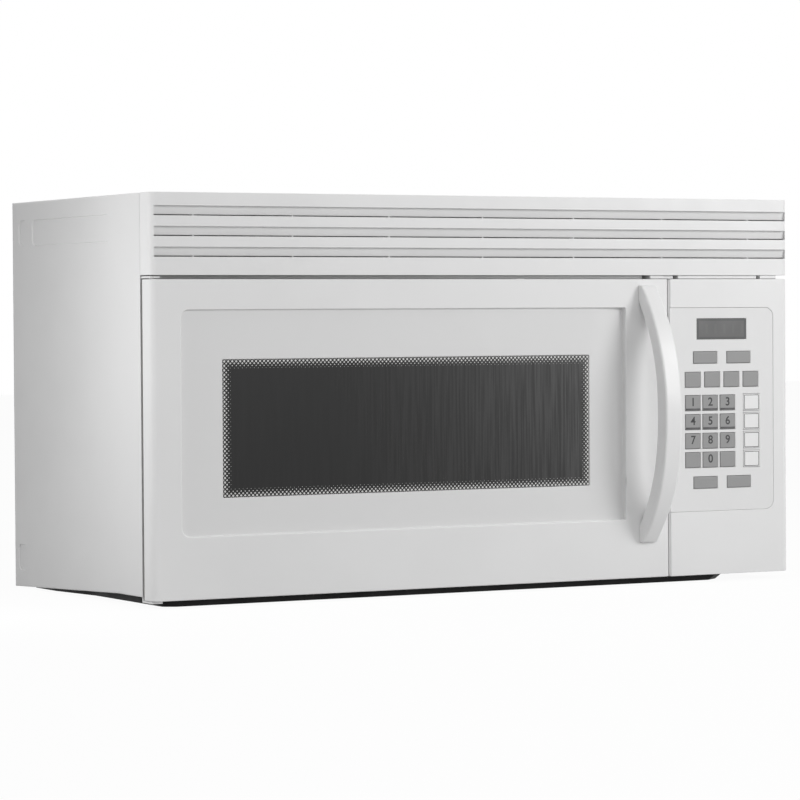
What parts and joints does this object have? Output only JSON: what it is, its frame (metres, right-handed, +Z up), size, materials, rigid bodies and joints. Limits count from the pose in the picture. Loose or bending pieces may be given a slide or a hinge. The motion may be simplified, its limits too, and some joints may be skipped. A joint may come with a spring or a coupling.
{
  "type": "over the range microwave oven",
  "caption": "Over the range microwave oven with a side hinged door, bow handle, slotted vent grille, keypad, turntable, exhaust blower and grease filters.",
  "frame": {"origin": "middle of the object's plan at the flat underside of the base pan", "axes": "+X to the user's right, -Y out of the front, +Z up"},
  "size_m": [0.759, 0.4014, 0.41],
  "materials": {
    "white_paint": "gloss powder coat",
    "white_plastic": "satin moulded",
    "black_paint": "satin",
    "window_glass": "dark printed glass",
    "clear_glass": "clear",
    "oven_enamel": "satin enamel",
    "zinc_steel": "galvanised",
    "aluminium": "mill",
    "black_plastic": "matte",
    "grey_plastic": "matte",
    "circuit_board": "solder mask",
    "key_grey": "satin printed",
    "key_white": "satin printed"
  },
  "bodies": {
    "cabinet": {"outer_wrap": "white_paint", "back_panel": "zinc_steel", "base_plate": "black_paint", "vent_grille": "white_plastic", "oven_cavity": "oven_enamel", "interlock_bracket": "grey_plastic", "upper_hinge": "white_paint", "lower_hinge": "white_paint", "control_panel": "white_plastic", "keypad_overlay": "white_plastic", "display_window": "window_glass", "control_board": "circuit_board", "turntable_motor": "zinc_steel", "magnetron": "aluminium", "inverter_supply": "circuit_board", "fan_shroud": "zinc_steel", "blower_housing": "zinc_steel", "blower_motor": "zinc_steel", "cooktop_lamp_lens": "clear_glass"},
    "door": {"door_frame": "white_plastic", "door_window": "window_glass", "door_screen": "black_paint", "door_choke_cover": "black_plastic", "door_handle": "white_plastic"},
    "latch": {"door_latch": "white_plastic"},
    "coupler": {"turntable_coupler": "white_plastic"},
    "tray": {"glass_tray": "clear_glass"},
    "ring": {"roller_ring": "white_plastic"},
    "wheel_1": {"roller_wheel_1": "white_plastic"},
    "wheel_2": {"roller_wheel_2": "white_plastic"},
    "wheel_3": {"roller_wheel_3": "white_plastic"},
    "blower_wheel": {"blower_rotor": "aluminium"},
    "fan_wheel": {"cooling_fan": "black_plastic"},
    "damper": {"exhaust_damper": "aluminium"},
    "filter_left": {"grease_filter_left": "aluminium"},
    "filter_right": {"grease_filter_right": "aluminium"},
    "body_key_wide_top_left": {"key_wide_top_left": "key_grey"},
    "body_key_wide_top_right": {"key_wide_top_right": "key_grey"},
    "body_key_icon_1": {"key_icon_1": "key_grey"},
    "body_key_icon_2": {"key_icon_2": "key_grey"},
    "body_key_icon_3": {"key_icon_3": "key_grey"},
    "body_key_icon_4": {"key_icon_4": "key_grey"},
    "body_key_digit_1": {"key_digit_1": "key_grey"},
    "body_key_digit_2": {"key_digit_2": "key_grey"},
    "body_key_digit_3": {"key_digit_3": "key_grey"},
    "body_key_digit_4": {"key_digit_4": "key_grey"},
    "body_key_digit_5": {"key_digit_5": "key_grey"},
    "body_key_digit_6": {"key_digit_6": "key_grey"},
    "body_key_digit_7": {"key_digit_7": "key_grey"},
    "body_key_digit_8": {"key_digit_8": "key_grey"},
    "body_key_digit_9": {"key_digit_9": "key_grey"},
    "body_key_blank_left": {"key_blank_left": "key_grey"},
    "body_key_digit_0": {"key_digit_0": "key_grey"},
    "body_key_blank_right": {"key_blank_right": "key_grey"},
    "body_key_wide_bottom_left": {"key_wide_bottom_left": "key_grey"},
    "body_key_wide_bottom_right": {"key_wide_bottom_right": "key_grey"},
    "body_key_outline_1": {"key_outline_1": "key_white"},
    "body_key_outline_2": {"key_outline_2": "key_white"},
    "body_key_outline_3": {"key_outline_3": "key_white"},
    "body_key_outline_4": {"key_outline_4": "key_white"}
  },
  "joints": [
    {"name": "door_swing", "type": "hinge", "parent": "cabinet", "child": "door", "pos_m": [-0.3735, -0.14025, 0.166], "axis": [0, 0, -1], "range_deg": [0, 110]},
    {"name": "door_latch_lift", "type": "slide", "parent": "door", "child": "latch", "axis": [0, 0, 1], "range_m": [0, 0.004], "stiffness_N_per_m": 200},
    {"name": "carousel_spin", "type": "hinge", "parent": "cabinet", "child": "coupler", "pos_m": [-0.0775, 0.02425, 0.05], "axis": [0, 0, 1], "continuous": true},
    {"name": "carousel_tray_lift", "type": "slide", "parent": "coupler", "child": "tray", "axis": [0, 0, 1], "range_m": [0, 0.02]},
    {"name": "carousel_ring_spin", "type": "hinge", "parent": "cabinet", "child": "ring", "pos_m": [-0.0775, 0.02425, 0.0503], "axis": [0, 0, 1], "continuous": true},
    {"name": "carousel_wheel_1_roll", "type": "hinge", "parent": "ring", "child": "wheel_1", "pos_m": [0.0175, 0.02425, 0.0503], "axis": [-1, 0, 0], "continuous": true},
    {"name": "carousel_wheel_2_roll", "type": "hinge", "parent": "ring", "child": "wheel_2", "pos_m": [-0.125, 0.10652, 0.0503], "axis": [0.5, -0.866, 0], "continuous": true},
    {"name": "carousel_wheel_3_roll", "type": "hinge", "parent": "ring", "child": "wheel_3", "pos_m": [-0.125, -0.05802, 0.0503], "axis": [0.5, 0.866, 0], "continuous": true},
    {"name": "blower_spin", "type": "hinge", "parent": "cabinet", "child": "blower_wheel", "pos_m": [0, 0.1475, 0.3363], "axis": [1, 0, 0], "continuous": true},
    {"name": "cooling_fan_spin", "type": "hinge", "parent": "cabinet", "child": "fan_wheel", "pos_m": [0.3015, 0.17695, 0.128], "axis": [0, 1, 0], "continuous": true},
    {"name": "damper_swing", "type": "hinge", "parent": "cabinet", "child": "damper", "pos_m": [0, 0.18375, 0.403], "axis": [-1, 0, 0], "range_deg": [0, 75]},
    {"name": "filter_left_slide", "type": "slide", "parent": "cabinet", "child": "filter_left", "axis": [1, 0, 0], "range_m": [0, 0.01]},
    {"name": "filter_right_slide", "type": "slide", "parent": "cabinet", "child": "filter_right", "axis": [1, 0, 0], "range_m": [0, 0.01]},
    {"name": "key_wide_top_left_press", "type": "slide", "parent": "cabinet", "child": "body_key_wide_top_left", "axis": [0, 1, 0], "range_m": [0, 0.0004], "stiffness_N_per_m": 1000},
    {"name": "key_wide_top_right_press", "type": "slide", "parent": "cabinet", "child": "body_key_wide_top_right", "axis": [0, 1, 0], "range_m": [0, 0.0004], "stiffness_N_per_m": 1000},
    {"name": "key_icon_1_press", "type": "slide", "parent": "cabinet", "child": "body_key_icon_1", "axis": [0, 1, 0], "range_m": [0, 0.0004], "stiffness_N_per_m": 1000},
    {"name": "key_icon_2_press", "type": "slide", "parent": "cabinet", "child": "body_key_icon_2", "axis": [0, 1, 0], "range_m": [0, 0.0004], "stiffness_N_per_m": 1000},
    {"name": "key_icon_3_press", "type": "slide", "parent": "cabinet", "child": "body_key_icon_3", "axis": [0, 1, 0], "range_m": [0, 0.0004], "stiffness_N_per_m": 1000},
    {"name": "key_icon_4_press", "type": "slide", "parent": "cabinet", "child": "body_key_icon_4", "axis": [0, 1, 0], "range_m": [0, 0.0004], "stiffness_N_per_m": 1000},
    {"name": "key_digit_1_press", "type": "slide", "parent": "cabinet", "child": "body_key_digit_1", "axis": [0, 1, 0], "range_m": [0, 0.0004], "stiffness_N_per_m": 1000},
    {"name": "key_digit_2_press", "type": "slide", "parent": "cabinet", "child": "body_key_digit_2", "axis": [0, 1, 0], "range_m": [0, 0.0004], "stiffness_N_per_m": 1000},
    {"name": "key_digit_3_press", "type": "slide", "parent": "cabinet", "child": "body_key_digit_3", "axis": [0, 1, 0], "range_m": [0, 0.0004], "stiffness_N_per_m": 1000},
    {"name": "key_digit_4_press", "type": "slide", "parent": "cabinet", "child": "body_key_digit_4", "axis": [0, 1, 0], "range_m": [0, 0.0004], "stiffness_N_per_m": 1000},
    {"name": "key_digit_5_press", "type": "slide", "parent": "cabinet", "child": "body_key_digit_5", "axis": [0, 1, 0], "range_m": [0, 0.0004], "stiffness_N_per_m": 1000},
    {"name": "key_digit_6_press", "type": "slide", "parent": "cabinet", "child": "body_key_digit_6", "axis": [0, 1, 0], "range_m": [0, 0.0004], "stiffness_N_per_m": 1000},
    {"name": "key_digit_7_press", "type": "slide", "parent": "cabinet", "child": "body_key_digit_7", "axis": [0, 1, 0], "range_m": [0, 0.0004], "stiffness_N_per_m": 1000},
    {"name": "key_digit_8_press", "type": "slide", "parent": "cabinet", "child": "body_key_digit_8", "axis": [0, 1, 0], "range_m": [0, 0.0004], "stiffness_N_per_m": 1000},
    {"name": "key_digit_9_press", "type": "slide", "parent": "cabinet", "child": "body_key_digit_9", "axis": [0, 1, 0], "range_m": [0, 0.0004], "stiffness_N_per_m": 1000},
    {"name": "key_blank_left_press", "type": "slide", "parent": "cabinet", "child": "body_key_blank_left", "axis": [0, 1, 0], "range_m": [0, 0.0004], "stiffness_N_per_m": 1000},
    {"name": "key_digit_0_press", "type": "slide", "parent": "cabinet", "child": "body_key_digit_0", "axis": [0, 1, 0], "range_m": [0, 0.0004], "stiffness_N_per_m": 1000},
    {"name": "key_blank_right_press", "type": "slide", "parent": "cabinet", "child": "body_key_blank_right", "axis": [0, 1, 0], "range_m": [0, 0.0004], "stiffness_N_per_m": 1000},
    {"name": "key_wide_bottom_left_press", "type": "slide", "parent": "cabinet", "child": "body_key_wide_bottom_left", "axis": [0, 1, 0], "range_m": [0, 0.0004], "stiffness_N_per_m": 1000},
    {"name": "key_wide_bottom_right_press", "type": "slide", "parent": "cabinet", "child": "body_key_wide_bottom_right", "axis": [0, 1, 0], "range_m": [0, 0.0004], "stiffness_N_per_m": 1000},
    {"name": "key_outline_1_press", "type": "slide", "parent": "cabinet", "child": "body_key_outline_1", "axis": [0, 1, 0], "range_m": [0, 0.0004], "stiffness_N_per_m": 1000},
    {"name": "key_outline_2_press", "type": "slide", "parent": "cabinet", "child": "body_key_outline_2", "axis": [0, 1, 0], "range_m": [0, 0.0004], "stiffness_N_per_m": 1000},
    {"name": "key_outline_3_press", "type": "slide", "parent": "cabinet", "child": "body_key_outline_3", "axis": [0, 1, 0], "range_m": [0, 0.0004], "stiffness_N_per_m": 1000},
    {"name": "key_outline_4_press", "type": "slide", "parent": "cabinet", "child": "body_key_outline_4", "axis": [0, 1, 0], "range_m": [0, 0.0004], "stiffness_N_per_m": 1000}
  ],
  "couplings": [
    {"joint": "carousel_ring_spin", "follows": "carousel_spin", "ratio": 0.5},
    {"joint": "carousel_wheel_1_roll", "follows": "carousel_spin", "ratio": 6.7857},
    {"joint": "carousel_wheel_2_roll", "follows": "carousel_spin", "ratio": 6.7857},
    {"joint": "carousel_wheel_3_roll", "follows": "carousel_spin", "ratio": 6.7857}
  ]
}
